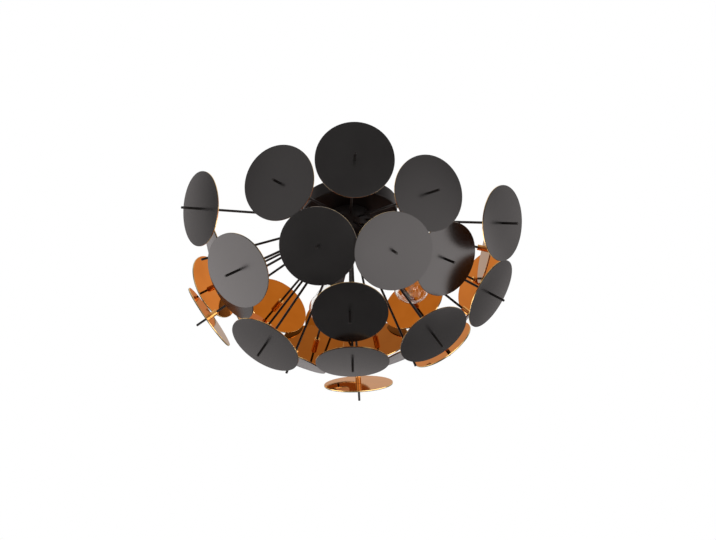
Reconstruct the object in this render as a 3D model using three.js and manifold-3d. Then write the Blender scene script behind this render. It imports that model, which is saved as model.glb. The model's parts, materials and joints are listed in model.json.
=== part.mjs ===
// Ceiling lamp: a round canopy carries a hollow hub, and rods with round discs stand out of it on all sides.
// Millimetres, +Z up, the front towards -Y. The origin is the middle of the ceiling face.

import * as THREE from 'three';
import { mergeVertices } from 'three/addons/utils/BufferGeometryUtils.js';
import Module from 'manifold-3d';

// Fits, and how far a cutter runs past the face that it cuts
const GAP = 0.3;
const CUT_OVERRUN = 1;

// Discs and rods
const DISC_RADIUS = 60;
const DISC_THICKNESS = 2.5;
const DISC_REACH_IN_RADII = 4.25;
const LONG_ROD_EXTRA = 35;
const ROD_RADIUS = 2;
const COLLAR_WALL = 3;
const COLLAR_LENGTH = 15;
const ROD_NUT_WALL = 1.2;
const ROD_NUT_HEIGHT = 2.4;
const ROD_NUT_SETBACK = 1.4;
const BOTTOM_DISC_SLIDE = 10;
const BOTTOM_ROD_TIP = 18;

// Hub
const HUB_RADIUS = 35;
const HUB_WALL = 3;
const HUB_DROP = 9;
const HUB_LIP_WIDTH = 8;
const BRIDGE_WIDTH = 16;
const BRIDGE_THICKNESS = 3;
const NIPPLE_RADIUS = 5;
const NIPPLE_WALL = 1.4;
const NIPPLE_END_LENGTH = 3;
const NIPPLE_NUT_WALL = 4.5;
const NIPPLE_NUT_HEIGHT = 4;

// Canopy and what hangs it on the ceiling
const CANOPY_RADIUS = 81;
const CANOPY_HEIGHT = 24;
const CANOPY_WALL = 1.2;
const CANOPY_EDGE_RADIUS = 3;
const BRACKET_WIDTH = 20;
const BRACKET_THICKNESS = 2;
const BRACKET_TAB_BELOW_SCREW = 6;
const BRACKET_SLOT_SPACING = 90;
const BRACKET_SLOT_LENGTH = 16;
const BRACKET_SLOT_RADIUS = 2.5;
const CABLE_HOLE_RADIUS = 5;
const CABLE_HOLE_OFFSET = 22;
const CANOPY_SCREW_DROP = 9;
const CANOPY_SCREW_RADIUS = 1.9;
const CANOPY_SCREW_LENGTH = 9;
const CANOPY_SCREW_HEAD_RADIUS = 4;
const CANOPY_SCREW_HEAD_TOP_RADIUS = 3;
const CANOPY_SCREW_HEAD_HEIGHT = 2.2;
const TERMINAL_LENGTH = 30;
const TERMINAL_WIDTH = 14;
const TERMINAL_HEIGHT = 12;
const TERMINAL_OFFSET = 28;
const TERMINAL_POLES = 3;
const TERMINAL_BORE_RADIUS = 2;

// Lamp holders and bulbs
const HOLDER_ELEVATION = -51;
const HOLDER_AZIMUTHS = { front: -30, right: 96, rear: -154 };
const ARM_LENGTH = 41;
const ARM_COLLAR_WALL = 1.5;
const ARM_COLLAR_HEIGHT = 3;
const HOLDER_BACK_STEP = 5;
const HOLDER_WALL = 2.2;
const HOLDER_DEPTH = 41;
const HOLDER_TAPER = 8;
const CORE_WALL = 2.1;
const CORE_FLOOR = 2;
const CORE_SEAT_DEPTH = 5;
const CORE_CUP_DEPTH = 20;
const CONTACT_RADIUS = 3.5;
const CONTACT_HEIGHT = 1.2;
const CAP_RADIUS = 13.1;
const CAP_HEIGHT = 26;
const CAP_TIP_RADIUS = 4.5;
const CAP_TIP_HEIGHT = 1;
const CAP_BASE_HEIGHT = 5;
const CAP_SHELL = 0.6;
const CAP_THREAD_DEPTH = 0.7;
const CAP_THREAD_TURNS = 4;
const CAP_THREAD_PITCH = 3.6;
const GLOBE_RADIUS = 30;
const BULB_LENGTH = 103;
const GLASS_WALL = 0.9;
const GLASS_INSERT = 9;
const NECK_LENGTH = 11;
const SHOULDER_DROP_IN_RADII = 0.88;
const GLOBE_START_DEGREES = -38;

// Sides of the round pieces
const DISC_SIDES = 32;
const COLLAR_SIDES = 8;
const ROD_SIDES = 6;
const NUT_SIDES = 6;
const HUB_SIDES = 24;
const CANOPY_SIDES = 36;
const HOLDER_SIDES = 16;
const HUB_ARC_STEPS = 6;
const GLOBE_ARC_STEPS = 6;
const EDGE_ARC_STEPS = 3;
const SLOT_ARC_STEPS = 6;

// Where each rod stands: [azimuth, elevation, slide, tip].
// These rows weren't set by hand. Fitting programs placed the discs against the photograph and kept hidden ones
// clear of the rest, and most rows are their output, in whole degrees and millimetres. report.md says more.
// The azimuth is in degrees from the front towards +X. The slide is how far, in millimetres, the disc sits
// outward of the even place, and the tip is how much of the rod stands out beyond it.
// Long rods alternate with short ones.
const ROWS = [
  {
    name: 'upper',
    startsLong: true,
    places: [
      [2, -12, 5, 28], [29, -18, 10, 32], [58, -19, 10, 28], [98, -11, -15, 26],
      [125, -9, -5, 26], [150, -17, -23, 26], [186, -12, 5, 26], [213, -13, 5, 26],
      [238, -9, 6, 26], [278, -20, -15, 26], [302, -12, -5, 34], [335, -14, 5, 21],
    ],
  },
  {
    name: 'middle',
    startsLong: true,
    places: [
      [16, -38, 10, 20], [47, -37, 0, 22], [76, -37, 0, 26], [104, -38, 5, 26],
      [138, -34, -5, 26], [168, -35, -10, 26], [197, -30, -20, 26], [230, -36, -5, 26],
      [254, -30, 3, 26], [287, -37, 0, 26], [314, -37, 10, 30], [348, -37, 30, 16],
    ],
  },
  {
    name: 'lower',
    startsLong: false,
    places: [
      [-1, -65, -5, 27], [65, -60, -5, 29], [123, -63, -5, 26],
      [177, -55, -2, 30], [239, -63, 5, 26], [291, -60, 5, 25],
    ],
  },
];

// Sizes that follow
const hubZ = -(CANOPY_HEIGHT + HUB_DROP);
const hubInner = HUB_RADIUS - HUB_WALL;
const hubTop = HUB_DROP - GAP;
const shortReach = DISC_RADIUS * DISC_REACH_IN_RADII;
const longReach = shortReach + LONG_ROD_EXTRA;
const collarRadius = ROD_RADIUS + COLLAR_WALL;
const rodNutRadius = ROD_RADIUS + ROD_NUT_WALL;
const nippleBore = NIPPLE_RADIUS - NIPPLE_WALL;
const nippleHole = NIPPLE_RADIUS + GAP;
const holderBack = HUB_RADIUS + ARM_LENGTH;
const coreCup = CAP_RADIUS + GAP;
const coreOuter = coreCup + CORE_WALL;
const holderInner = coreOuter + GAP;
const holderOuter = holderInner + HOLDER_WALL;
const holderBackRadius = holderOuter - HOLDER_BACK_STEP;
const coreBack = holderBack + HOLDER_WALL + GAP;
const coreFloorBack = coreBack + CORE_SEAT_DEPTH;
const coreFloorFront = coreFloorBack + CORE_FLOOR;
const capTip = coreFloorFront + CONTACT_HEIGHT + 2 * GAP;
const canopyInner = CANOPY_RADIUS - CANOPY_WALL;
const canopyFlat = canopyInner * Math.cos(Math.PI / CANOPY_SIDES);
const tabOuter = Math.sqrt(canopyFlat ** 2 - (BRACKET_WIDTH / 2) ** 2) - GAP;
const tabBottom = -(CANOPY_SCREW_DROP + BRACKET_TAB_BELOW_SCREW);

const blackMetal = new THREE.MeshStandardMaterial({ color: 0x1c1b1b, roughness: 0.38, metalness: 0.6 });
const discMetal = new THREE.MeshStandardMaterial({ color: 0x2a2827, roughness: 0.35, metalness: 0.6 });
const zincSteel = new THREE.MeshStandardMaterial({ color: 0xa9abad, roughness: 0.4, metalness: 0.9 });
const brass = new THREE.MeshStandardMaterial({ color: 0xc9a24a, roughness: 0.3, metalness: 0.95 });
const ceramic = new THREE.MeshStandardMaterial({ color: 0xe8e4da, roughness: 0.5, metalness: 0 });
const blackPlastic = new THREE.MeshStandardMaterial({ color: 0x171717, roughness: 0.5, metalness: 0 });
const nickel = new THREE.MeshStandardMaterial({ color: 0xc4c2bc, roughness: 0.3, metalness: 0.95 });
const clearGlass = new THREE.MeshStandardMaterial({
  color: 0xffffff, roughness: 0.03, metalness: 0, transparent: true, opacity: 0.25,
});

const wasm = await Module();
wasm.setup();

// A closed geometry as a solid that can be joined and cut
function solid(geometry) {
  const bare = geometry.clone();
  bare.deleteAttribute('normal');
  bare.deleteAttribute('uv');
  const merged = mergeVertices(bare, 1e-4);
  return new wasm.Manifold(new wasm.Mesh({
    numProp: 3,
    vertProperties: merged.attributes.position.array,
    triVerts: new Uint32Array(merged.index.array),
  }));
}

// A solid back as a geometry with flat normals
function geometryOf(body) {
  const mesh = body.getMesh();
  const indexed = new THREE.BufferGeometry();
  indexed.setAttribute('position', new THREE.BufferAttribute(mesh.vertProperties, 3));
  indexed.setIndex(new THREE.BufferAttribute(mesh.triVerts, 1));
  const geometry = indexed.toNonIndexed();
  geometry.computeVertexNormals();
  return geometry;
}

// A round bar along Z from one height to another
function bar(radius, from, to, sides, endRadius = radius) {
  const geometry = new THREE.CylinderGeometry(endRadius, radius, to - from, sides);
  return solid(geometry.rotateX(Math.PI / 2).translate(0, 0, (from + to) / 2));
}

// A round solid about Z from its half outline, given as [radius, height] anticlockwise
function turned(outline, sides) {
  const points = outline.map(([radius, height]) => new THREE.Vector2(radius, height));
  return solid(new THREE.LatheGeometry(points, sides).rotateX(Math.PI / 2));
}

// Points on an arc, as [radius, height], between two angles in degrees
function arc(radius, fromDegrees, toDegrees, steps, centreRadius = 0, centreHeight = 0) {
  const points = [];
  for (let i = 0; i <= steps; i++) {
    const angle = THREE.MathUtils.degToRad(fromDegrees + ((toDegrees - fromDegrees) * i) / steps);
    const onAxis = Math.abs(Math.cos(angle)) < 1e-9 ? 0 : radius * Math.cos(angle);
    points.push([centreRadius + onAxis, centreHeight + radius * Math.sin(angle)]);
  }
  return points;
}

function named(name, body, material) {
  const mesh = new THREE.Mesh(geometryOf(body), material);
  mesh.name = name;
  return mesh;
}

// A group at the hub's centre whose own +Z points along a rod or an arm
function spoke(azimuth, elevation) {
  const group = new THREE.Group();
  group.position.z = hubZ;
  const tilt = THREE.MathUtils.degToRad(90 - elevation);
  group.rotation.set(tilt, 0, THREE.MathUtils.degToRad(azimuth), 'ZXY');
  return group;
}

// The same turn for a solid in the hub's frame
function turnedTo(body, azimuth, elevation) {
  const group = spoke(azimuth, elevation);
  group.position.z = 0;
  group.updateMatrix();
  return body.transform(group.matrix.elements);
}

// Every rod: its name, direction, the reach of its disc from the hub's centre, and its tip
function allRods() {
  const rods = [];
  for (const { name, startsLong, places } of ROWS) {
    places.forEach(([azimuth, elevation, slide, tip], i) => {
      const isLong = (i % 2 === 0) === startsLong;
      rods.push({
        name: `disc_rod_${name}_${String(i + 1).padStart(2, '0')}`,
        azimuth,
        elevation,
        reach: (isLong ? longReach : shortReach) + slide,
        tip,
      });
    });
  }
  rods.push({
    name: 'disc_rod_bottom',
    azimuth: 0,
    elevation: -90,
    reach: shortReach + BOTTOM_DISC_SLIDE,
    tip: BOTTOM_ROD_TIP,
  });
  return rods;
}

// A rod with the nut that holds it inside the hub, its collar and its disc
function discRod(reach, tip) {
  const discBack = reach - DISC_THICKNESS / 2;
  const nutOuter = hubInner - ROD_NUT_SETBACK;
  const nutInner = nutOuter - ROD_NUT_HEIGHT;
  const rod = bar(ROD_RADIUS, nutInner, reach + tip, ROD_SIDES);
  const nut = bar(rodNutRadius, nutInner, nutOuter, NUT_SIDES);
  const collar = bar(collarRadius, discBack - COLLAR_LENGTH, reach, COLLAR_SIDES);
  const disc = bar(DISC_RADIUS, discBack, discBack + DISC_THICKNESS, DISC_SIDES);
  return disc.add(collar).add(rod).add(nut);
}

// A half ball with a short neck and an inward lip, drilled for every rod and arm
function hubDome(rods) {
  const lipInner = HUB_RADIUS - HUB_LIP_WIDTH;
  const lipBottom = hubTop - HUB_WALL;
  let dome = turned([
    ...arc(HUB_RADIUS, -90, 0, HUB_ARC_STEPS),
    [HUB_RADIUS, hubTop],
    [lipInner, hubTop],
    [lipInner, lipBottom],
    [hubInner, lipBottom],
    ...arc(hubInner, 0, -90, HUB_ARC_STEPS),
  ], HUB_SIDES);
  const rodHole = bar(ROD_RADIUS + GAP, hubInner / 2, 2 * HUB_RADIUS, ROD_SIDES);
  for (const { azimuth, elevation } of rods) {
    dome = dome.subtract(turnedTo(rodHole, azimuth, elevation));
  }
  const armHole = bar(nippleHole, hubInner / 2, 2 * HUB_RADIUS, HOLDER_SIDES);
  for (const azimuth of Object.values(HOLDER_AZIMUTHS)) {
    dome = dome.subtract(turnedTo(armHole, azimuth, HOLDER_ELEVATION));
  }
  return dome;
}

// The bar under the hub's lip that the nipple pulls up
function hubBridge() {
  const top = hubZ + hubTop - HUB_WALL - GAP;
  const length = 2 * Math.sqrt((hubInner - GAP) ** 2 - (BRIDGE_WIDTH / 2) ** 2) - 2 * GAP;
  const plate = solid(new THREE.BoxGeometry(length, BRIDGE_WIDTH, BRIDGE_THICKNESS)
    .translate(0, 0, top - BRIDGE_THICKNESS / 2));
  return plate.subtract(bar(nippleHole, top - 2 * BRIDGE_THICKNESS, top + BRIDGE_THICKNESS, HOLDER_SIDES));
}

// A nut on the nipple, from its lower face up
function nippleNut(bottom) {
  const top = bottom + NIPPLE_NUT_HEIGHT;
  const nut = bar(NIPPLE_RADIUS + NIPPLE_NUT_WALL, bottom, top, NUT_SIDES);
  return nut.subtract(bar(nippleHole, bottom - CUT_OVERRUN, top + CUT_OVERRUN, HOLDER_SIDES));
}

// The threaded tube from inside the canopy to under the bridge
function hubNipple(top, bottom) {
  const tube = bar(NIPPLE_RADIUS, bottom, top, HOLDER_SIDES);
  return tube.subtract(bar(nippleBore, bottom - CUT_OVERRUN, top + CUT_OVERRUN, HOLDER_SIDES));
}

// The drum against the ceiling, open at its top
function canopy() {
  const bottom = -CANOPY_HEIGHT;
  const edgeCentre = [CANOPY_RADIUS - CANOPY_EDGE_RADIUS, bottom + CANOPY_EDGE_RADIUS];
  const innerEdge = CANOPY_EDGE_RADIUS - CANOPY_WALL;
  const shell = turned([
    [nippleHole, bottom],
    ...arc(CANOPY_EDGE_RADIUS, -90, 0, EDGE_ARC_STEPS, ...edgeCentre),
    [CANOPY_RADIUS, 0],
    [canopyInner, 0],
    ...arc(innerEdge, 0, -90, EDGE_ARC_STEPS, ...edgeCentre),
    [nippleHole, bottom + CANOPY_WALL],
    [nippleHole, bottom],
  ], CANOPY_SIDES);
  return shell.subtract(acrossX(CANOPY_SCREW_RADIUS + GAP, CANOPY_RADIUS + CUT_OVERRUN));
}

// A bar through the whole canopy along X, at the height of its screws
function acrossX(radius, halfLength) {
  const geometry = new THREE.CylinderGeometry(radius, radius, 2 * halfLength, COLLAR_SIDES);
  return solid(geometry.rotateZ(Math.PI / 2).translate(0, 0, -CANOPY_SCREW_DROP));
}

// The steel strip on the ceiling, with a tab bent down at each end for the canopy's screws
function ceilingBracket() {
  const tabInner = tabOuter - BRACKET_THICKNESS;
  const outline = new THREE.Shape([
    new THREE.Vector2(-tabOuter, 0),
    new THREE.Vector2(-tabOuter, tabBottom),
    new THREE.Vector2(-tabInner, tabBottom),
    new THREE.Vector2(-tabInner, -BRACKET_THICKNESS),
    new THREE.Vector2(tabInner, -BRACKET_THICKNESS),
    new THREE.Vector2(tabInner, tabBottom),
    new THREE.Vector2(tabOuter, tabBottom),
    new THREE.Vector2(tabOuter, 0),
  ]);
  const strip = new THREE.ExtrudeGeometry(outline, { depth: BRACKET_WIDTH, bevelEnabled: false });
  let bracket = solid(strip.rotateX(Math.PI / 2).translate(0, BRACKET_WIDTH / 2, 0));
  const straight = BRACKET_SLOT_LENGTH - 2 * BRACKET_SLOT_RADIUS;
  for (const side of [-1, 1]) {
    const slot = new THREE.Shape();
    slot.absarc(straight / 2, 0, BRACKET_SLOT_RADIUS, -Math.PI / 2, Math.PI / 2);
    slot.absarc(-straight / 2, 0, BRACKET_SLOT_RADIUS, Math.PI / 2, (3 * Math.PI) / 2);
    const cutter = new THREE.ExtrudeGeometry(slot, {
      depth: 3 * BRACKET_THICKNESS, bevelEnabled: false, curveSegments: SLOT_ARC_STEPS,
    });
    cutter.translate((side * BRACKET_SLOT_SPACING) / 2, 0, -2 * BRACKET_THICKNESS);
    bracket = bracket.subtract(solid(cutter));
  }
  const cableHole = bar(CABLE_HOLE_RADIUS, -2 * BRACKET_THICKNESS, BRACKET_THICKNESS, HOLDER_SIDES);
  bracket = bracket.subtract(cableHole.translate([-CABLE_HOLE_OFFSET, 0, 0]));
  return bracket.subtract(acrossX(CANOPY_SCREW_RADIUS + GAP, CANOPY_RADIUS));
}

// A screw along +X whose head lies outside the canopy's wall
function canopyScrew() {
  const headStart = CANOPY_RADIUS + GAP;
  const headEnd = headStart + CANOPY_SCREW_HEAD_HEIGHT;
  const shankEnd = (headStart + headEnd) / 2;
  const shank = bar(CANOPY_SCREW_RADIUS, headStart - CANOPY_SCREW_LENGTH, shankEnd, ROD_SIDES);
  const head = bar(CANOPY_SCREW_HEAD_RADIUS, headStart, headEnd, HOLDER_SIDES, CANOPY_SCREW_HEAD_TOP_RADIUS);
  return shank.add(head);
}

// The block under the bracket where the mains wires meet the lamp's own
function terminalBlock() {
  const top = -BRACKET_THICKNESS - GAP;
  const middle = top - TERMINAL_HEIGHT / 2;
  const bottom = top - TERMINAL_HEIGHT;
  let block = solid(new THREE.BoxGeometry(TERMINAL_LENGTH, TERMINAL_WIDTH, TERMINAL_HEIGHT)
    .translate(TERMINAL_OFFSET, 0, middle));
  const pitch = TERMINAL_LENGTH / TERMINAL_POLES;
  const boreLength = TERMINAL_WIDTH + 2 * CUT_OVERRUN;
  const screwWell = bar(TERMINAL_BORE_RADIUS, bottom - CUT_OVERRUN, middle, ROD_SIDES);
  for (let i = 0; i < TERMINAL_POLES; i++) {
    const x = TERMINAL_OFFSET + (i - (TERMINAL_POLES - 1) / 2) * pitch;
    const radius = TERMINAL_BORE_RADIUS;
    const wireBore = new THREE.CylinderGeometry(radius, radius, boreLength, ROD_SIDES);
    block = block.subtract(solid(wireBore.translate(x, 0, middle)));
    block = block.subtract(screwWell.translate([x, 0, 0]));
  }
  return block;
}

// The hollow arm from the hub's wall to inside the holder's back
function holderArm() {
  const end = coreFloorBack - GAP;
  const collarRadius = NIPPLE_RADIUS + ARM_COLLAR_WALL;
  const hubCollarStart = HUB_RADIUS + GAP;
  const holderCollarEnd = holderBack - GAP;
  return bar(NIPPLE_RADIUS, hubInner, end, HOLDER_SIDES)
    .add(bar(collarRadius, hubCollarStart, hubCollarStart + ARM_COLLAR_HEIGHT, HOLDER_SIDES))
    .add(bar(collarRadius, holderCollarEnd - ARM_COLLAR_HEIGHT, holderCollarEnd, HOLDER_SIDES))
    .subtract(bar(nippleBore, hubInner - CUT_OVERRUN, end + CUT_OVERRUN, HOLDER_SIDES));
}

// The holder's outer shell: a cup that tapers to its back
function holderShell() {
  const mouth = holderBack + HOLDER_DEPTH;
  return turned([
    [nippleHole, holderBack],
    [holderBackRadius, holderBack],
    [holderOuter, holderBack + HOLDER_TAPER],
    [holderOuter, mouth],
    [holderInner, mouth],
    [holderInner, holderBack + HOLDER_TAPER + HOLDER_WALL / 2],
    [holderBackRadius - HOLDER_WALL / 2, holderBack + HOLDER_WALL],
    [nippleHole, holderBack + HOLDER_WALL],
    [nippleHole, holderBack],
  ], HOLDER_SIDES);
}

// The insulating core: the arm ends in its back, and the bulb's cap screws into its cup
function holderCore() {
  const backRadius = holderBackRadius - HOLDER_WALL;
  const rim = coreFloorFront + CORE_CUP_DEPTH;
  return turned([
    [0, coreFloorBack],
    [nippleHole, coreFloorBack],
    [nippleHole, coreBack],
    [backRadius, coreBack],
    [backRadius, coreFloorBack],
    [coreOuter, holderBack + HOLDER_TAPER + 2 * HOLDER_WALL],
    [coreOuter, rim],
    [coreCup, rim],
    [coreCup, coreFloorFront],
    [0, coreFloorFront],
  ], HOLDER_SIDES);
}

// The middle contact on the core's floor
function holderContact() {
  const bottom = coreFloorFront + GAP;
  return bar(CONTACT_RADIUS, bottom, bottom + CONTACT_HEIGHT, COLLAR_SIDES);
}

// The bulb's screw cap: a thin shell with a pip at its end, open where the glass is cemented in
function bulbCap() {
  const threadRoot = CAP_RADIUS - CAP_THREAD_DEPTH;
  const threadStart = capTip + CAP_BASE_HEIGHT;
  const outline = [[0, capTip], [CAP_TIP_RADIUS, capTip], [CAP_TIP_RADIUS, capTip + CAP_TIP_HEIGHT]];
  outline.push([threadRoot, threadStart]);
  for (let turn = 0; turn < CAP_THREAD_TURNS; turn++) {
    const start = threadStart + turn * CAP_THREAD_PITCH;
    outline.push([CAP_RADIUS, start + CAP_THREAD_PITCH / 2]);
    outline.push([threadRoot, start + CAP_THREAD_PITCH]);
  }
  const mouth = capTip + CAP_HEIGHT;
  const bore = threadRoot - CAP_SHELL;
  const boreEnd = capTip + CAP_TIP_HEIGHT + 2 * CAP_SHELL;
  outline.push([CAP_RADIUS, mouth], [bore, mouth]);
  outline.push([bore, threadStart + CAP_SHELL], [CAP_TIP_RADIUS, boreEnd], [0, boreEnd]);
  return turned(outline, HOLDER_SIDES);
}

// The bulb's glass: a neck inside the cap that opens into a round globe
function bulbGlass() {
  const neck = CAP_RADIUS - CAP_THREAD_DEPTH - CAP_SHELL - GAP;
  const neckStart = capTip + CAP_HEIGHT - GLASS_INSERT;
  const centre = capTip + BULB_LENGTH - GLOBE_RADIUS;
  const shoulder = [(neck + GLOBE_RADIUS) / 2, centre - GLOBE_RADIUS * SHOULDER_DROP_IN_RADII];
  const outline = (inset) => [
    [0, neckStart - inset],
    [neck - inset, neckStart - inset],
    [neck - inset, neckStart + NECK_LENGTH],
    [shoulder[0] - inset, shoulder[1]],
    ...arc(GLOBE_RADIUS - inset, GLOBE_START_DEGREES, 90, GLOBE_ARC_STEPS, 0, centre),
  ];
  return turned(outline(0), HOLDER_SIDES).subtract(turned(outline(GLASS_WALL), HOLDER_SIDES));
}

// The canopy with its bracket, screws, terminal block and the fixings down to the hub
function addCanopy(lamp) {
  const plateTop = -CANOPY_HEIGHT + CANOPY_WALL;
  const canopyNutBottom = plateTop + GAP;
  const bridgeBottom = hubZ + hubTop - HUB_WALL - GAP - BRIDGE_THICKNESS;
  const hubNutBottom = bridgeBottom - GAP - NIPPLE_NUT_HEIGHT;
  const nippleTop = canopyNutBottom + NIPPLE_NUT_HEIGHT + NIPPLE_END_LENGTH;
  lamp.add(named('canopy', canopy(), blackMetal));
  lamp.add(named('ceiling_bracket', ceilingBracket(), zincSteel));
  for (const [side, turn] of [['right', 0], ['left', Math.PI]]) {
    const screw = named(`canopy_screw_${side}`, canopyScrew(), blackMetal);
    const mount = new THREE.Group();
    mount.position.z = -CANOPY_SCREW_DROP;
    mount.rotation.z = turn;
    screw.rotation.y = Math.PI / 2;
    mount.add(screw);
    lamp.add(mount);
  }
  lamp.add(named('terminal_block', terminalBlock(), ceramic));
  lamp.add(named('canopy_nut', nippleNut(canopyNutBottom), zincSteel));
  lamp.add(named('hub_nipple', hubNipple(nippleTop, hubNutBottom - NIPPLE_END_LENGTH), zincSteel));
  lamp.add(named('hub_bridge', hubBridge(), zincSteel));
  lamp.add(named('hub_nut', nippleNut(hubNutBottom), zincSteel));
}

// The hub with every rod and disc
function addDiscs(lamp) {
  const rods = allRods();
  const dome = named('hub_dome', hubDome(rods), blackMetal);
  dome.position.z = hubZ;
  lamp.add(dome);
  for (const { name, azimuth, elevation, reach, tip } of rods) {
    const place = spoke(azimuth, elevation);
    place.add(named(name, discRod(reach, tip), discMetal));
    lamp.add(place);
  }
}

// Three arms, each with its lamp holder and its bulb
function addHolders(lamp) {
  for (const [side, azimuth] of Object.entries(HOLDER_AZIMUTHS)) {
    const place = spoke(azimuth, HOLDER_ELEVATION);
    place.add(named(`holder_arm_${side}`, holderArm(), blackMetal));
    place.add(named(`holder_shell_${side}`, holderShell(), blackPlastic));
    place.add(named(`holder_core_${side}`, holderCore(), ceramic));
    place.add(named(`holder_contact_${side}`, holderContact(), brass));
    place.add(named(`bulb_cap_${side}`, bulbCap(), nickel));
    place.add(named(`bulb_glass_${side}`, bulbGlass(), clearGlass));
    lamp.add(place);
  }
}

const lamp = new THREE.Group();
addCanopy(lamp);
addDiscs(lamp);
addHolders(lamp);

export default lamp;
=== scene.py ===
"""The looks of a ceiling lamp: black discs with gold inner faces on rods round a hub, and clear bulbs.

Sizes are in millimetres and are turned into metres where a mesh is made.
The frame is the model's own: +Z up, the front towards -Y, the origin on the ceiling.
"""

import json
import math

import bmesh
import bpy
from mathutils import Matrix, Vector


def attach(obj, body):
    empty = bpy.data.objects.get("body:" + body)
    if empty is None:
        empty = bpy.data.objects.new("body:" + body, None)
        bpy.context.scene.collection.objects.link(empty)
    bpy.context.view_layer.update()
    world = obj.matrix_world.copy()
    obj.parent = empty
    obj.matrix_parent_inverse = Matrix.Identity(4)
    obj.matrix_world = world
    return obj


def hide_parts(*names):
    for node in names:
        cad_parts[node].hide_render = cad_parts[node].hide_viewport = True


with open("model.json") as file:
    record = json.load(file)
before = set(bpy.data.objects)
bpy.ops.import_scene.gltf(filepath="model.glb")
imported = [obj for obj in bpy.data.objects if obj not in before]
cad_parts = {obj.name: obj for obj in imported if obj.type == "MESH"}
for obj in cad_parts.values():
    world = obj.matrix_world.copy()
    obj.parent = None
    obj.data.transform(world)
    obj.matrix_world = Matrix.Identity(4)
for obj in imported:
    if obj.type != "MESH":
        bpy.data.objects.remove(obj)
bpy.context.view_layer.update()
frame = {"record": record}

MM = 0.001

# Camera: how it looks up at the hub, how far away it is, and how far aside it stands from that line
IMAGE_WIDTH = 716
FOCAL_PIXELS = 1295
SENSOR_WIDTH = 36
CAMERA_PITCH = 27.3
CAMERA_ROLL = 1.125
CAMERA_DISTANCE = 2216.4
CAMERA_ASIDE = 13.4
CAMERA_ABOVE = -86.9

# Discs and rods
DISC_RADIUS = 59.9
DISC_THICKNESS = 2.5
DISC_EDGE = 0.4
SKIN_DEPTH = 0.12
ROD_RADIUS = 2.0
COLLAR_RADIUS = 5.0
COLLAR_LENGTH = 15
ROD_NUT_RADIUS = 3.2
ROD_NUT_HEIGHT = 2.4

# Hub
HUB_Z = -33
HUB_RADIUS = 35
HUB_WALL = 3
HUB_TOP = 8.7
HUB_LIP_WIDTH = 8
NUT_OUTER = 30.6

# Canopy
CANOPY_RADIUS = 81
CANOPY_HEIGHT = 24
CANOPY_WALL = 1.2
CANOPY_EDGE_RADIUS = 3
CANOPY_RIM_CHAMFER = 0.3
NIPPLE_HOLE = 5.3

# Holders and bulbs, along an arm from the hub's centre
HOLDER_ELEVATION = -51
HOLDER_AZIMUTHS = {"front": -30, "right": 96, "rear": -154}
HOLDER_BACK = 76
HOLDER_DEPTH = 41
HOLDER_TAPER = 8
HOLDER_RADIUS = 18.0
HOLDER_INNER_RADIUS = 15.8
HOLDER_BACK_RADIUS = 13.0
HOLDER_BACK_WALL = 2.4
HOLDER_ARM_HOLE = 5.3
HOLDER_RING_STEP = 0.5
CAP_TIP = 87.6
CAP_HEIGHT = 26
CAP_RADIUS = 13.1
CAP_BASE_HEIGHT = 5
CAP_THREAD_DEPTH = 0.9
CAP_THREAD_PITCH = 3.6
CAP_THREAD_TURNS = 4.4
NECK_RADIUS = 11.5
GLASS_WALL = 0.9
GLASS_INSERT = 9
BULB_LENGTH = 103
GLOBE_RADIUS = 30

# The filament: a coil along an arc in the globe, hung on three supports
FILAMENT_RADIUS = 12
FILAMENT_FLATNESS = 0.75
FILAMENT_ABOVE_CENTRE = 6
COIL_RADIUS = 0.45
COIL_TURNS = 60
COIL_STEPS = 480
COIL_WIRE_RADIUS = 0.1
LEAD_RADIUS = 0.35
SUPPORT_RADIUS = 0.14
STEM_LENGTH = 26

# The soft lamp and the floor, in metres
KEY_PLACE = (-1.2, -2.2, -0.4)
KEY_AIM = (-1.2, -2.2, -0.2)
KEY_SIZE = 1.6
KEY_POWER = 30
FLOOR_HALF_WIDTH = 6.0
FLOOR_Z = -2.6

# How a rod's end ring and a disc's edge are told from the rest of a CAD node
END_RING_DEPTH = 0.05
EDGE_SHARE = 0.9
STRAIGHT_DOWN = 0.9999

ROUND = 96
SMALL_ROUND = 32


# A shader's nodes, its object coordinates and its main shader
def node_material(name, **sockets):
    made = bpy.data.materials.new(name)
    made.use_nodes = True
    shader = made.node_tree.nodes["Principled BSDF"]
    for socket, value in sockets.items():
        shader.inputs[socket.replace("_", " ")].default_value = value
    return made, made.node_tree, shader


def noise(tree, scale, detail=3.0, stretch=(1, 1, 1)):
    coordinates = tree.nodes.new("ShaderNodeTexCoord")
    mapping = tree.nodes.new("ShaderNodeMapping")
    mapping.inputs["Scale"].default_value = stretch
    tree.links.new(coordinates.outputs["Object"], mapping.inputs["Vector"])
    texture = tree.nodes.new("ShaderNodeTexNoise")
    texture.inputs["Scale"].default_value = scale
    texture.inputs["Detail"].default_value = detail
    tree.links.new(mapping.outputs["Vector"], texture.inputs["Vector"])
    return texture.outputs["Fac"]


def ramped(tree, value, low, high, start=0.3, end=0.7):
    ranged = tree.nodes.new("ShaderNodeMapRange")
    ranged.inputs["From Min"].default_value = start
    ranged.inputs["From Max"].default_value = end
    ranged.inputs["To Min"].default_value = low
    ranged.inputs["To Max"].default_value = high
    tree.links.new(value, ranged.inputs["Value"])
    return ranged.outputs["Result"]


def tinted(tree, value, dark, light):
    ramp = tree.nodes.new("ShaderNodeValToRGB")
    ramp.color_ramp.elements[0].position = 0.3
    ramp.color_ramp.elements[0].color = (*dark, 1)
    ramp.color_ramp.elements[1].position = 0.7
    ramp.color_ramp.elements[1].color = (*light, 1)
    tree.links.new(value, ramp.inputs["Fac"])
    return ramp.outputs["Color"]


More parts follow.
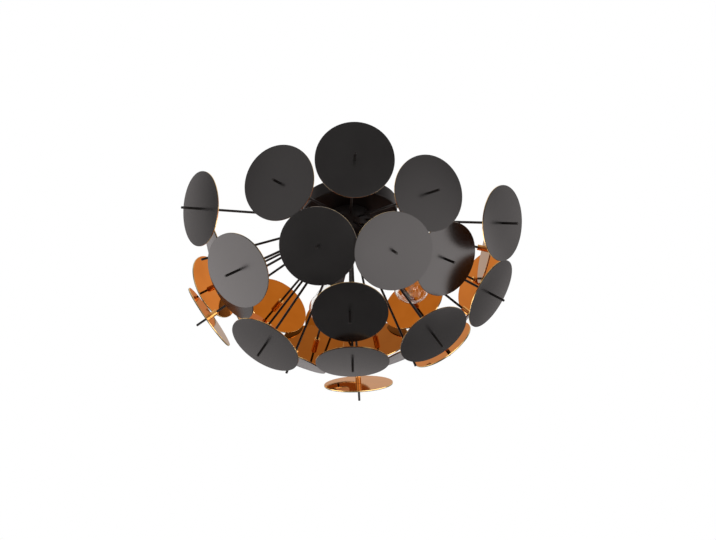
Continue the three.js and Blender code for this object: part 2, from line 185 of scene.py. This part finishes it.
def bumped(tree, shader, height, strength, distance):
    bump = tree.nodes.new("ShaderNodeBump")
    bump.inputs["Strength"].default_value = strength
    bump.inputs["Distance"].default_value = distance
    tree.links.new(height, bump.inputs["Height"])
    tree.links.new(bump.outputs["Normal"], shader.inputs["Normal"])


# Satin black coat: a fine orange peel, with slow changes in its gloss
def black_coat(name, dark, light, rough_low, rough_high, peel=0.04, gloss=0.5):
    made, tree, shader = node_material(name, Metallic=0.0, IOR=1.5, Specular_IOR_Level=gloss)
    slow = noise(tree, 18.0)
    fine = noise(tree, 900.0, 2.0)
    tree.links.new(tinted(tree, slow, dark, light), shader.inputs["Base Color"])
    tree.links.new(ramped(tree, slow, rough_low, rough_high), shader.inputs["Roughness"])
    bumped(tree, shader, fine, peel, 0.0002)
    return made


# Polished gold plate: deep orange in the face, paler at the edge, with faint rolling marks
def gold_plate(name, dark, light, rough_low, rough_high):
    made, tree, shader = node_material(name, Metallic=1.0, Specular_Tint=(1.0, 0.97, 0.8, 1))
    cloud = noise(tree, 26.0, 4.0)
    wave = noise(tree, 9.0, 1.0)
    tree.links.new(tinted(tree, cloud, dark, light), shader.inputs["Base Color"])
    tree.links.new(ramped(tree, cloud, rough_low, rough_high), shader.inputs["Roughness"])
    bumped(tree, shader, wave, 0.12, 0.0006)
    return made


def plain_metal(name, dark, light, rough_low, rough_high, stretch=(1, 1, 1)):
    made, tree, shader = node_material(name, Metallic=1.0)
    grain = noise(tree, 120.0, 4.0, stretch)
    tree.links.new(tinted(tree, grain, dark, light), shader.inputs["Base Color"])
    tree.links.new(ramped(tree, grain, rough_low, rough_high), shader.inputs["Roughness"])
    bumped(tree, shader, grain, 0.08, 0.0002)
    return made


def plain_solid(name, dark, light, rough_low, rough_high):
    made, tree, shader = node_material(name, Metallic=0.0, IOR=1.5)
    grain = noise(tree, 300.0, 3.0)
    tree.links.new(tinted(tree, grain, dark, light), shader.inputs["Base Color"])
    tree.links.new(ramped(tree, grain, rough_low, rough_high), shader.inputs["Roughness"])
    bumped(tree, shader, grain, 0.05, 0.0002)
    return made


def clear_glass():
    made, tree, shader = node_material("clear_glass", Roughness=0.0, IOR=1.47, Transmission_Weight=1.0)
    shader.inputs["Base Color"].default_value = (0.99, 1.0, 0.995, 1)
    bumped(tree, shader, noise(tree, 14.0, 1.0), 0.05, 0.0006)
    return made


MATERIALS = {
    "disc_black": black_coat(
        "disc_black", (0.0048, 0.0043, 0.0041), (0.0075, 0.007, 0.0067), 0.22, 0.27),
    "black_metal": black_coat(
        "black_metal", (0.0040, 0.0032, 0.0030), (0.0060, 0.0052, 0.0048), 0.42, 0.50, 0.08, 0.2),
    "rod_black": black_coat(
        "rod_black", (0.0040, 0.0030, 0.0026), (0.0060, 0.0048, 0.0042), 0.34, 0.42, 0.08, 0.3),
    "disc_gold": gold_plate(
        "disc_gold", (0.47, 0.128, 0.009), (0.53, 0.152, 0.013), 0.03, 0.06),
    "collar_gold": gold_plate(
        "collar_gold", (0.70, 0.36, 0.10), (0.76, 0.40, 0.12), 0.08, 0.12),
    "rim_brass": gold_plate(
        "rim_brass", (0.70, 0.48, 0.18), (0.76, 0.54, 0.22), 0.12, 0.18),
    "zinc_steel": plain_metal(
        "zinc_steel", (0.48, 0.49, 0.50), (0.64, 0.65, 0.66), 0.3, 0.45, (1, 6, 1)),
    "terminal_plastic": plain_solid(
        "terminal_plastic", (0.72, 0.71, 0.67), (0.80, 0.79, 0.75), 0.4, 0.55),
    "holder_black": plain_solid(
        "holder_black", (0.008, 0.008, 0.008), (0.014, 0.013, 0.013), 0.3, 0.42),
    "holder_ceramic": plain_solid(
        "holder_ceramic", (0.74, 0.71, 0.65), (0.82, 0.80, 0.75), 0.3, 0.42),
    "contact_brass": plain_metal(
        "contact_brass", (0.62, 0.43, 0.16), (0.76, 0.56, 0.24), 0.25, 0.4),
    "cap_metal": plain_metal(
        "cap_metal", (0.62, 0.61, 0.58), (0.74, 0.73, 0.70), 0.25, 0.38),
    "filament_metal": plain_metal(
        "filament_metal", (0.24, 0.23, 0.22), (0.38, 0.37, 0.35), 0.3, 0.45),
    "bulb_glass": clear_glass(),
}


# A surface turned about Z from [radius, height] points, closed on itself if asked
def turned(name, outline, sides, closed=False, sharp=35):
    work = bmesh.new()
    rings = []
    for radius, height in outline:
        if radius == 0:
            rings.append([work.verts.new((0, 0, height * MM))])
            continue
        ring = []
        for i in range(sides):
            angle = 2 * math.pi * i / sides
            x, y = radius * math.cos(angle), radius * math.sin(angle)
            ring.append(work.verts.new((x * MM, y * MM, height * MM)))
        rings.append(ring)
    pairs = list(zip(rings, rings[1:]))
    if closed:
        pairs.append((rings[-1], rings[0]))
    for low, high in pairs:
        for i in range(sides):
            j = (i + 1) % sides
            if len(low) == 1 and len(high) == 1:
                continue
            if len(low) == 1:
                work.faces.new((low[0], high[j], high[i]))
            elif len(high) == 1:
                work.faces.new((low[i], low[j], high[0]))
            else:
                work.faces.new((low[i], low[j], high[j], high[i]))
    return finished(work, name, sharp)


# A threaded skin about Z: the radius rises and falls along a helix, and fades in and out at its ends
def threaded(name, radius, depth, pitch, start, end, sides=48, rows_a_turn=10):
    work = bmesh.new()
    rows = max(2, round((end - start) / pitch * rows_a_turn))
    grid = []
    for row in range(rows + 1):
        height = start + (end - start) * row / rows
        fade = min(1.0, (height - start) / pitch, (end - height) / pitch)
        ring = []
        for i in range(sides):
            angle = 2 * math.pi * i / sides
            wave = 0.5 + 0.5 * math.cos(2 * math.pi * (height / pitch - i / sides))
            r = radius - depth * (1 - wave * max(0.0, fade))
            x, y = r * math.cos(angle), r * math.sin(angle)
            ring.append(work.verts.new((x * MM, y * MM, height * MM)))
        grid.append(ring)
    for low, high in zip(grid, grid[1:]):
        for i in range(sides):
            j = (i + 1) % sides
            work.faces.new((low[i], low[j], high[j], high[i]))
    return finished(work, name, 60)


def finished(work, name, sharp):
    bmesh.ops.recalc_face_normals(work, faces=work.faces)
    mesh = bpy.data.meshes.new(name)
    work.to_mesh(mesh)
    work.free()
    mesh.shade_smooth()
    mesh.set_sharp_from_angle(angle=math.radians(sharp))
    return mesh


# Points on an arc, as [radius, height], between two angles in degrees
def arc(radius, start, end, steps, centre_radius=0.0, centre_height=0.0):
    points = []
    for i in range(steps + 1):
        angle = math.radians(start + (end - start) * i / steps)
        across = 0.0 if abs(math.cos(angle)) < 1e-9 else radius * math.cos(angle)
        points.append((centre_radius + across, centre_height + radius * math.sin(angle)))
    return points


# The place of a rod or an arm: at the hub's centre, with its own +Z pointing outward
def spoke(azimuth, elevation, slide=0.0):
    turn = Matrix.Rotation(math.radians(azimuth), 4, "Z")
    tilt = Matrix.Rotation(math.radians(90 - elevation), 4, "X")
    return Matrix.Translation((0, 0, HUB_Z * MM)) @ turn @ tilt @ Matrix.Translation((0, 0, slide * MM))


# A piece made from a shared shape, with its place put into its own mesh, so that its box is exact
def piece(name, shape, slot, place, body="lamp", nodes=(), material=None):
    mesh = shape.copy()
    mesh.transform(place)
    mesh.materials.append(MATERIALS[material or slot])
    made = bpy.data.objects.new(name, mesh)
    bpy.context.collection.objects.link(made)
    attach(made, body)
    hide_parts(*nodes)
    return made


def wire(name, points, radius, slot, place, body, cyclic=False):
    curve = bpy.data.curves.new(name, "CURVE")
    curve.dimensions = "3D"
    curve.bevel_depth = radius * MM
    curve.bevel_resolution = 3
    curve.use_fill_caps = True
    line = curve.splines.new("POLY")
    line.points.add(len(points) - 1)
    for point, (x, y, z) in zip(line.points, points):
        point.co = (x * MM, y * MM, z * MM, 1)
    line.use_cyclic_u = cyclic
    made = bpy.data.objects.new(name, curve)
    bpy.context.collection.objects.link(made)
    curve.materials.append(MATERIALS[slot])
    made.matrix_world = place
    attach(made, body)
    return made


# The gold plate of a disc, inside the skins of its edge
def disc_plate_mesh():
    half = DISC_THICKNESS / 2
    core = 0.8 * SKIN_DEPTH
    outline = [
        (ROD_RADIUS, -half), (DISC_RADIUS - DISC_EDGE, -half),
        (DISC_RADIUS - core, -half + DISC_EDGE), (DISC_RADIUS - core, half - DISC_EDGE),
        (DISC_RADIUS - DISC_EDGE, half - core), (ROD_RADIUS, half - core),
    ]
    return turned("disc_plate", outline, ROUND, closed=True)


# A thin skin round the outer half of a disc's edge: [radius, height] points from its face to mid-rim
def edge_skin():
    half = DISC_THICKNESS / 2
    centre = (DISC_RADIUS - DISC_EDGE, half - DISC_EDGE)
    outside = arc(DISC_EDGE, 90, 0, 5, *centre) + [(DISC_RADIUS, 0)]
    inside = arc(DISC_EDGE - SKIN_DEPTH, 90, 0, 5, *centre) + [(DISC_RADIUS - SKIN_DEPTH, 0)]
    return outside, inside


# The black coat: it covers a disc's outer face, goes round the edge and down half the rim
def disc_face_mesh():
    outside, inside = edge_skin()
    top = DISC_THICKNESS / 2
    outline = [(ROD_RADIUS, top)] + outside + inside[::-1] + [(ROD_RADIUS, top - SKIN_DEPTH)]
    return turned("disc_face", outline, ROUND, closed=True)


# The bright bare edge of the gold plate: the other half of the rim
def disc_rim_mesh():
    outside, inside = edge_skin()
    outline = [(radius, -height) for radius, height in outside + inside[::-1]]
    return turned("disc_rim", outline, ROUND, closed=True)


# The collar that clamps a disc, with a groove near its free end
def collar_mesh():
    end = -DISC_THICKNESS / 2
    start = end - COLLAR_LENGTH
    r = COLLAR_RADIUS
    outline = [
        (ROD_RADIUS, start), (r - 0.6, start), (r, start + 0.6), (r, start + 2.2), (r - 0.35, start + 2.5),
        (r - 0.35, start + 3.0), (r, start + 3.3), (r, end - 0.3), (r - 0.3, end), (ROD_RADIUS, end),
    ]
    return turned("collar", outline, SMALL_ROUND, closed=True)


def rod_mesh(end):
    start = NUT_OUTER - ROD_NUT_HEIGHT
    r = ROD_RADIUS
    outline = [(0, start), (r - 0.3, start), (r, start + 0.3), (r, end - 0.4), (r - 0.4, end), (0, end)]
    return turned("rod", outline, 16)


def rod_nut_mesh():
    start = NUT_OUTER - ROD_NUT_HEIGHT
    outline = [
        (ROD_RADIUS, start), (ROD_NUT_RADIUS, start),
        (ROD_NUT_RADIUS, NUT_OUTER), (ROD_RADIUS, NUT_OUTER),
    ]
    return turned("rod_nut", outline, 6, closed=True, sharp=20)


# Where a rod stands, read from its CAD node: azimuth, elevation, and how far out its disc and end are
def rod_place(node):
    made = bpy.data.objects[node]
    hub = Vector((0, 0, HUB_Z))
    points = [made.matrix_world @ vertex.co / MM - hub for vertex in made.data.vertices]
    furthest = max(point.length for point in points)
    ends = [point for point in points if point.length > furthest - END_RING_DEPTH]
    end_ring = {tuple(round(value, 2) for value in point) for point in ends}
    end_centre = sum((Vector(point) for point in end_ring), Vector()) / len(end_ring)
    axis = end_centre.normalized()
    along = []
    for point in points:
        height = point.dot(axis)
        if (point - axis * height).length > EDGE_SHARE * DISC_RADIUS:
            along.append(height)
    azimuth = 0.0 if abs(axis.z) > STRAIGHT_DOWN else math.degrees(math.atan2(axis.x, -axis.y))
    elevation = math.degrees(math.asin(max(-1.0, min(1.0, axis.z))))
    return azimuth, elevation, (min(along) + max(along)) / 2, end_centre.length


def add_discs():
    plate, face, rim = disc_plate_mesh(), disc_face_mesh(), disc_rim_mesh()
    collar, nut = collar_mesh(), rod_nut_mesh()
    for subpart in frame["record"]["subparts"]:
        node = subpart["node"]
        if not node.startswith("disc_rod_"):
            continue
        name = node.removeprefix("disc_rod_")
        azimuth, elevation, reach, end = rod_place(node)
        at_disc = spoke(azimuth, elevation, reach)
        at_hub = spoke(azimuth, elevation)
        piece(f"disc_plate_{name}", plate, "disc_gold", at_disc, nodes=[node])
        piece(f"disc_face_{name}", face, "disc_black", at_disc, nodes=[node])
        piece(f"disc_rim_{name}", rim, "disc_gold", at_disc, nodes=[node], material="rim_brass")
        piece(f"collar_{name}", collar, "disc_gold", at_disc, nodes=[node], material="collar_gold")
        rod = rod_mesh(end)
        piece(f"rod_{name}", rod, "black_metal", at_hub, nodes=[node], material="rod_black")
        piece(f"rod_nut_{name}", nut, "zinc_steel", at_hub, nodes=[node])


# The hub: a hollow half ball with a short neck and an inward lip
def add_hub():
    lip = HUB_RADIUS - HUB_LIP_WIDTH
    inner = HUB_RADIUS - HUB_WALL
    outline = arc(HUB_RADIUS, -90, 0, 24)
    outline += [(HUB_RADIUS, HUB_TOP - 0.8), (HUB_RADIUS - 0.8, HUB_TOP), (lip, HUB_TOP)]
    outline += [(lip, HUB_TOP - HUB_WALL), (inner, HUB_TOP - HUB_WALL)] + arc(inner, 0, -90, 24)
    mesh = turned("hub_ball", outline, ROUND)
    piece("hub_ball", mesh, "black_metal", Matrix.Translation((0, 0, HUB_Z * MM)), nodes=["hub_dome"])


# The drum against the ceiling
def add_canopy():
    bottom = -CANOPY_HEIGHT
    centre = (CANOPY_RADIUS - CANOPY_EDGE_RADIUS, bottom + CANOPY_EDGE_RADIUS)
    inner = CANOPY_RADIUS - CANOPY_WALL
    chamfer = CANOPY_RIM_CHAMFER
    outline = [(NIPPLE_HOLE, bottom)] + arc(CANOPY_EDGE_RADIUS, -90, 0, 8, *centre)
    outline += [(CANOPY_RADIUS, -chamfer), (CANOPY_RADIUS - chamfer, 0)]
    outline += [(inner + chamfer, 0), (inner, -chamfer)]
    outline += arc(CANOPY_EDGE_RADIUS - CANOPY_WALL, 0, -90, 6, *centre)
    outline += [(NIPPLE_HOLE, bottom + CANOPY_WALL)]
    mesh = turned("canopy_shell", outline, 2 * ROUND, closed=True)
    piece("canopy_shell", mesh, "black_metal", Matrix.Identity(4), nodes=["canopy"])


# The holder's outer shell, with a rounded mouth and two raised rings
def holder_shell_mesh():
    back, mouth = HOLDER_BACK, HOLDER_BACK + HOLDER_DEPTH
    r, inner = HOLDER_RADIUS, HOLDER_INNER_RADIUS
    low = r - HOLDER_RING_STEP
    floor = back + HOLDER_BACK_WALL
    outline = [
        (HOLDER_ARM_HOLE, back), (HOLDER_BACK_RADIUS - 1, back), (HOLDER_BACK_RADIUS, back + 1),
        (low - 0.2, back + HOLDER_TAPER - 1), (low, back + HOLDER_TAPER), (low, back + 12),
        (r, back + 12.6), (r, back + 15.4), (low, back + 16), (low, mouth - 5),
        (r, mouth - 4.4), (r, mouth - 0.8), (r - 0.8, mouth), (inner + 0.6, mouth),
        (inner, mouth - 0.6), (inner, back + 10), (HOLDER_BACK_RADIUS - 2, floor), (HOLDER_ARM_HOLE, floor),
    ]
    return turned("holder_shell_fine", outline, 64, closed=True)


# The outline of the bulb's glass from the rim inside the cap to the top of the globe
def glass_outline(inset):
    neck_start = CAP_TIP + CAP_HEIGHT - GLASS_INSERT
    centre = CAP_TIP + BULB_LENGTH - GLOBE_RADIUS
    shoulder = [
        (11.5, 28.0), (12.0, 30.5), (13.6, 34.0), (15.9, 38.0),
        (18.3, 42.0), (20.7, 46.3), (22.5, 50.4),
    ]
    points = [(NECK_RADIUS - inset, neck_start)]
    points += [(radius - inset, CAP_TIP + height) for radius, height in shoulder]
    points += arc(GLOBE_RADIUS - inset, -38, 90, 28, 0, centre)
    return points


def bulb_glass_mesh():
    outside = glass_outline(0)
    inside = glass_outline(GLASS_WALL)
    return turned("bulb_globe", inside[::-1] + outside, 72)


# The glass foot inside the bulb that carries the wires
def stem_mesh():
    foot = CAP_TIP + CAP_HEIGHT - GLASS_INSERT + 0.5
    outline = [
        (NECK_RADIUS - GLASS_WALL - 0.3, foot), (8.0, foot + 3), (5.0, foot + 8), (3.6, foot + 14),
        (3.2, foot + 22), (2.9, foot + 26), (1.6, foot + 28.5), (1.3, foot + 38),
        (2.0, foot + 39.5), (1.6, foot + 41.2), (0, foot + 41.8),
    ]
    return turned("bulb_stem", outline, 24)


def cap_mesh():
    start = CAP_TIP + CAP_BASE_HEIGHT
    return threaded("cap_thread", CAP_RADIUS, CAP_THREAD_DEPTH, CAP_THREAD_PITCH, start,
                    start + CAP_THREAD_TURNS * CAP_THREAD_PITCH)


# The cap's smooth parts: the cone to the insulator, and the skirt that holds the glass
def cap_skirt_mesh():
    root = CAP_RADIUS - CAP_THREAD_DEPTH
    start = CAP_TIP + CAP_BASE_HEIGHT + CAP_THREAD_TURNS * CAP_THREAD_PITCH
    mouth = CAP_TIP + CAP_HEIGHT
    outline = [(root, start), (root + 0.3, start + 1), (CAP_RADIUS - 0.2, mouth - 1.2), (CAP_RADIUS, mouth),
               (CAP_RADIUS - 0.5, mouth + 0.1), (NECK_RADIUS + 0.1, mouth - 0.5)]
    return turned("cap_skirt", outline, 48)


def cap_foot_mesh():
    root = CAP_RADIUS - CAP_THREAD_DEPTH
    outline = [(8.5, CAP_TIP + 2.6), (9.6, CAP_TIP + 2.8), (root, CAP_TIP + CAP_BASE_HEIGHT)]
    return turned("cap_foot", outline, 48)


def cap_insulator_mesh():
    outline = [(4.4, CAP_TIP + 0.7), (5.4, CAP_TIP + 0.6), (8.6, CAP_TIP + 2.7), (8.4, CAP_TIP + 3.4)]
    return turned("cap_insulator", outline, 48)


def cap_tip_mesh():
    outline = [(0, CAP_TIP), (2.6, CAP_TIP + 0.05), (4.1, CAP_TIP + 0.35), (4.5, CAP_TIP + 0.9)]
    return turned("cap_tip", outline, 32)


# Wires and a hanging filament inside the globe
def add_filament(side, place, body):
    centre = CAP_TIP + BULB_LENGTH - GLOBE_RADIUS
    foot = CAP_TIP + CAP_HEIGHT - GLASS_INSERT + STEM_LENGTH
    top = centre + FILAMENT_ABOVE_CENTRE
    for end, sign in (("a", -1), ("b", 1)):
        near, far = sign * 2.2, sign * FILAMENT_RADIUS
        lead = [(near, 0, foot - 20), (near, 0, foot), (sign * 4, 0, foot + 6), (far, 0, top)]
        wire(f"bulb_lead_{end}_{side}", lead, LEAD_RADIUS, "filament_metal", place, body)
    coil = []
    for i in range(COIL_STEPS + 1):
        along = i / COIL_STEPS
        angle = math.radians(170) + math.radians(200) * along
        swing = 2 * math.pi * COIL_TURNS * along
        r = FILAMENT_RADIUS + COIL_RADIUS * math.cos(swing)
        y = r * FILAMENT_FLATNESS * math.sin(angle)
        coil.append((r * math.cos(angle), y, top + COIL_RADIUS * math.sin(swing)))
    wire(f"bulb_filament_{side}", coil, COIL_WIRE_RADIUS, "filament_metal", place, body)
    hub_end = foot + 14.5
    for k, degrees in enumerate((215, 270, 325)):
        angle = math.radians(degrees)
        x = FILAMENT_RADIUS * math.cos(angle)
        y = FILAMENT_RADIUS * FILAMENT_FLATNESS * math.sin(angle)
        support = [(0, 0, hub_end), (x * 0.5, y * 0.5, hub_end + 1), (x, y, top)]
        wire(f"bulb_support_{k + 1}_{side}", support, SUPPORT_RADIUS, "filament_metal", place, body)


def add_holders():
    shell = holder_shell_mesh()
    glass, stem = bulb_glass_mesh(), stem_mesh()
    thread, skirt, foot = cap_mesh(), cap_skirt_mesh(), cap_foot_mesh()
    insulator, tip = cap_insulator_mesh(), cap_tip_mesh()
    for side, azimuth in HOLDER_AZIMUTHS.items():
        place = spoke(azimuth, HOLDER_ELEVATION)
        body = f"bulb_{side}"
        cap_node, glass_node = f"bulb_cap_{side}", f"bulb_glass_{side}"
        piece(f"holder_cup_{side}", shell, "holder_black", place, nodes=[f"holder_shell_{side}"])
        piece(f"bulb_globe_{side}", glass, "bulb_glass", place, body, [glass_node])
        piece(f"bulb_stem_{side}", stem, "bulb_glass", place, body, [glass_node])
        piece(f"cap_thread_{side}", thread, "cap_metal", place, body, [cap_node])
        piece(f"cap_skirt_{side}", skirt, "cap_metal", place, body, [cap_node])
        piece(f"cap_foot_{side}", foot, "cap_metal", place, body, [cap_node])
        piece(f"cap_insulator_{side}", insulator, "holder_black", place, body, [cap_node])
        piece(f"cap_tip_{side}", tip, "cap_metal", place, body, [cap_node])
        add_filament(side, place, body)


# Materials on the CAD pieces that stay
def dress_cad():
    for node in frame["record"]["subparts"]:
        made = bpy.data.objects.get(node["node"])
        if made is None:
            continue
        made.data.materials.clear()
        made.data.materials.append(MATERIALS[node["material_slot"]])


# The camera at the photograph's place
def add_camera():
    data = bpy.data.cameras.new("camera")
    data.sensor_width = SENSOR_WIDTH
    data.lens = SENSOR_WIDTH * FOCAL_PIXELS / IMAGE_WIDTH
    data.clip_start = 0.05
    data.clip_end = 50
    camera = bpy.data.objects.new("camera", data)
    bpy.context.collection.objects.link(camera)
    pitch, roll = math.radians(CAMERA_PITCH), math.radians(CAMERA_ROLL)
    forward = Vector((0, math.cos(pitch), math.sin(pitch)))
    level_right = Vector((1, 0, 0))
    level_up = Vector((0, -math.sin(pitch), math.cos(pitch)))
    right = level_right * math.cos(roll) - level_up * math.sin(roll)
    up = level_up * math.cos(roll) + level_right * math.sin(roll)
    turn = Matrix((right, up, -forward)).transposed().to_4x4()
    spot = Vector((0, 0, HUB_Z)) - forward * CAMERA_DISTANCE + right * CAMERA_ASIDE + up * CAMERA_ABOVE
    camera.matrix_world = Matrix.Translation(spot * MM) @ turn
    bpy.context.scene.camera = camera


# The studio as the gloss sees it: one strength all round, with soft lights and darks added to it.
# Each one is [azimuth, elevation, inner angle, outer angle, strength], set beside the photograph.
STUDIO_BASE = 0.80
STUDIO_TINT = (1.0, 0.93, 0.92)
STUDIO_MATT_STRENGTH = 0.6
STUDIO_PATCHES = [
    (98, -25, 18, 34, 2.35),
    (-96, -24, 18, 34, 2.8),
    (44, -46, 12, 32, 2.4),
    (60, -13, 8, 25, 0.75),
    (4, 22, 18, 46, -0.42),
    (80, 20, 8, 26, -0.6),
    (-84, 20, 10, 36, -0.6),
    (-30, -46, 10, 34, -0.45),
    (180, -85, 20, 50, -0.55),
    (142, -20, 15, 40, -0.45),
    (115, 44, 8, 24, 0.30),
    (-115, 44, 8, 24, 0.30),
    (180, 56, 8, 26, 0.20),
    (180, 28, 10, 30, -0.25),
    (-50, 2, 8, 24, 0.25),
    (0, 88, 10, 34, -0.30),
]


def direction(azimuth, elevation):
    a, e = math.radians(azimuth), math.radians(elevation)
    return (math.sin(a) * math.cos(e), -math.cos(a) * math.cos(e), math.sin(e))


def add_world():
    world = bpy.data.worlds.new("studio")
    bpy.context.scene.world = world
    world.use_nodes = True
    world.cycles.sampling_method = "NONE"
    tree = world.node_tree
    tree.nodes.clear()
    out = tree.nodes.new("ShaderNodeOutputWorld")
    rays = tree.nodes.new("ShaderNodeLightPath")
    coordinates = tree.nodes.new("ShaderNodeTexCoord")
    total = None
    for azimuth, elevation, inner, outer, strength in STUDIO_PATCHES:
        dot = tree.nodes.new("ShaderNodeVectorMath")
        dot.operation = "DOT_PRODUCT"
        dot.inputs[1].default_value = direction(azimuth, elevation)
        tree.links.new(coordinates.outputs["Generated"], dot.inputs[0])
        patch = tree.nodes.new("ShaderNodeMapRange")
        patch.interpolation_type = "SMOOTHSTEP"
        patch.inputs["From Min"].default_value = math.cos(math.radians(outer))
        patch.inputs["From Max"].default_value = math.cos(math.radians(inner))
        patch.inputs["To Min"].default_value = 0
        patch.inputs["To Max"].default_value = strength
        tree.links.new(dot.outputs["Value"], patch.inputs["Value"])
        add = tree.nodes.new("ShaderNodeMath")
        add.operation = "ADD"
        add.inputs[1].default_value = STUDIO_BASE
        if total is not None:
            tree.links.new(total, add.inputs[1])
        tree.links.new(patch.outputs["Result"], add.inputs[0])
        total = add.outputs["Value"]
    gloss = tree.nodes.new("ShaderNodeBackground")
    gloss.inputs["Color"].default_value = (*STUDIO_TINT, 1)
    tree.links.new(total, gloss.inputs["Strength"])
    soft = tree.nodes.new("ShaderNodeBackground")
    soft.inputs["Color"].default_value = (1, 1, 1, 1)
    soft.inputs["Strength"].default_value = STUDIO_MATT_STRENGTH
    white = tree.nodes.new("ShaderNodeBackground")
    white.inputs["Color"].default_value = (1, 1, 1, 1)
    white.inputs["Strength"].default_value = 1.0
    seen = tree.nodes.new("ShaderNodeMath")
    seen.operation = "MAXIMUM"
    tree.links.new(rays.outputs["Is Camera Ray"], seen.inputs[0])
    tree.links.new(rays.outputs["Is Transmission Ray"], seen.inputs[1])
    for_gloss = tree.nodes.new("ShaderNodeMixShader")
    tree.links.new(rays.outputs["Is Glossy Ray"], for_gloss.inputs["Fac"])
    tree.links.new(soft.outputs[0], for_gloss.inputs[1])
    tree.links.new(gloss.outputs[0], for_gloss.inputs[2])
    final = tree.nodes.new("ShaderNodeMixShader")
    tree.links.new(seen.outputs[0], final.inputs["Fac"])
    tree.links.new(for_gloss.outputs[0], final.inputs[1])
    tree.links.new(white.outputs[0], final.inputs[2])
    tree.links.new(final.outputs[0], out.inputs["Surface"])


# One large soft lamp in front and above, for the matt surfaces
def add_light():
    data = bpy.data.lights.new("soft_key", "AREA")
    data.shape = "DISK"
    data.size = KEY_SIZE
    data.energy = KEY_POWER
    key = bpy.data.objects.new("soft_key", data)
    bpy.context.collection.objects.link(key)
    aim = Vector(KEY_AIM).to_track_quat("Z", "Y").to_matrix().to_4x4()
    key.matrix_world = Matrix.Translation(KEY_PLACE) @ aim
    key.visible_glossy = False
    key.visible_camera = False


# A pale floor a room's height below
def add_floor():
    mesh = bpy.data.meshes.new("floor")
    half = FLOOR_HALF_WIDTH
    corners = [(-half, -half, FLOOR_Z), (half, -half, FLOOR_Z), (half, half, FLOOR_Z), (-half, half, FLOOR_Z)]
    mesh.from_pydata(corners, [], [(0, 1, 2, 3)])
    floor = bpy.data.objects.new("floor", mesh)
    bpy.context.collection.objects.link(floor)
    made, tree, shader = node_material("floor_paint", Roughness=0.8)
    paint = tinted(tree, noise(tree, 2.0), (0.84, 0.84, 0.83), (0.88, 0.88, 0.87))
    tree.links.new(paint, shader.inputs["Base Color"])
    mesh.materials.append(made)
    floor.visible_glossy = False


bpy.context.scene.view_settings.view_transform = "Standard"
dress_cad()
add_discs()
add_hub()
add_canopy()
add_holders()
add_camera()
add_world()
add_light()
add_floor()
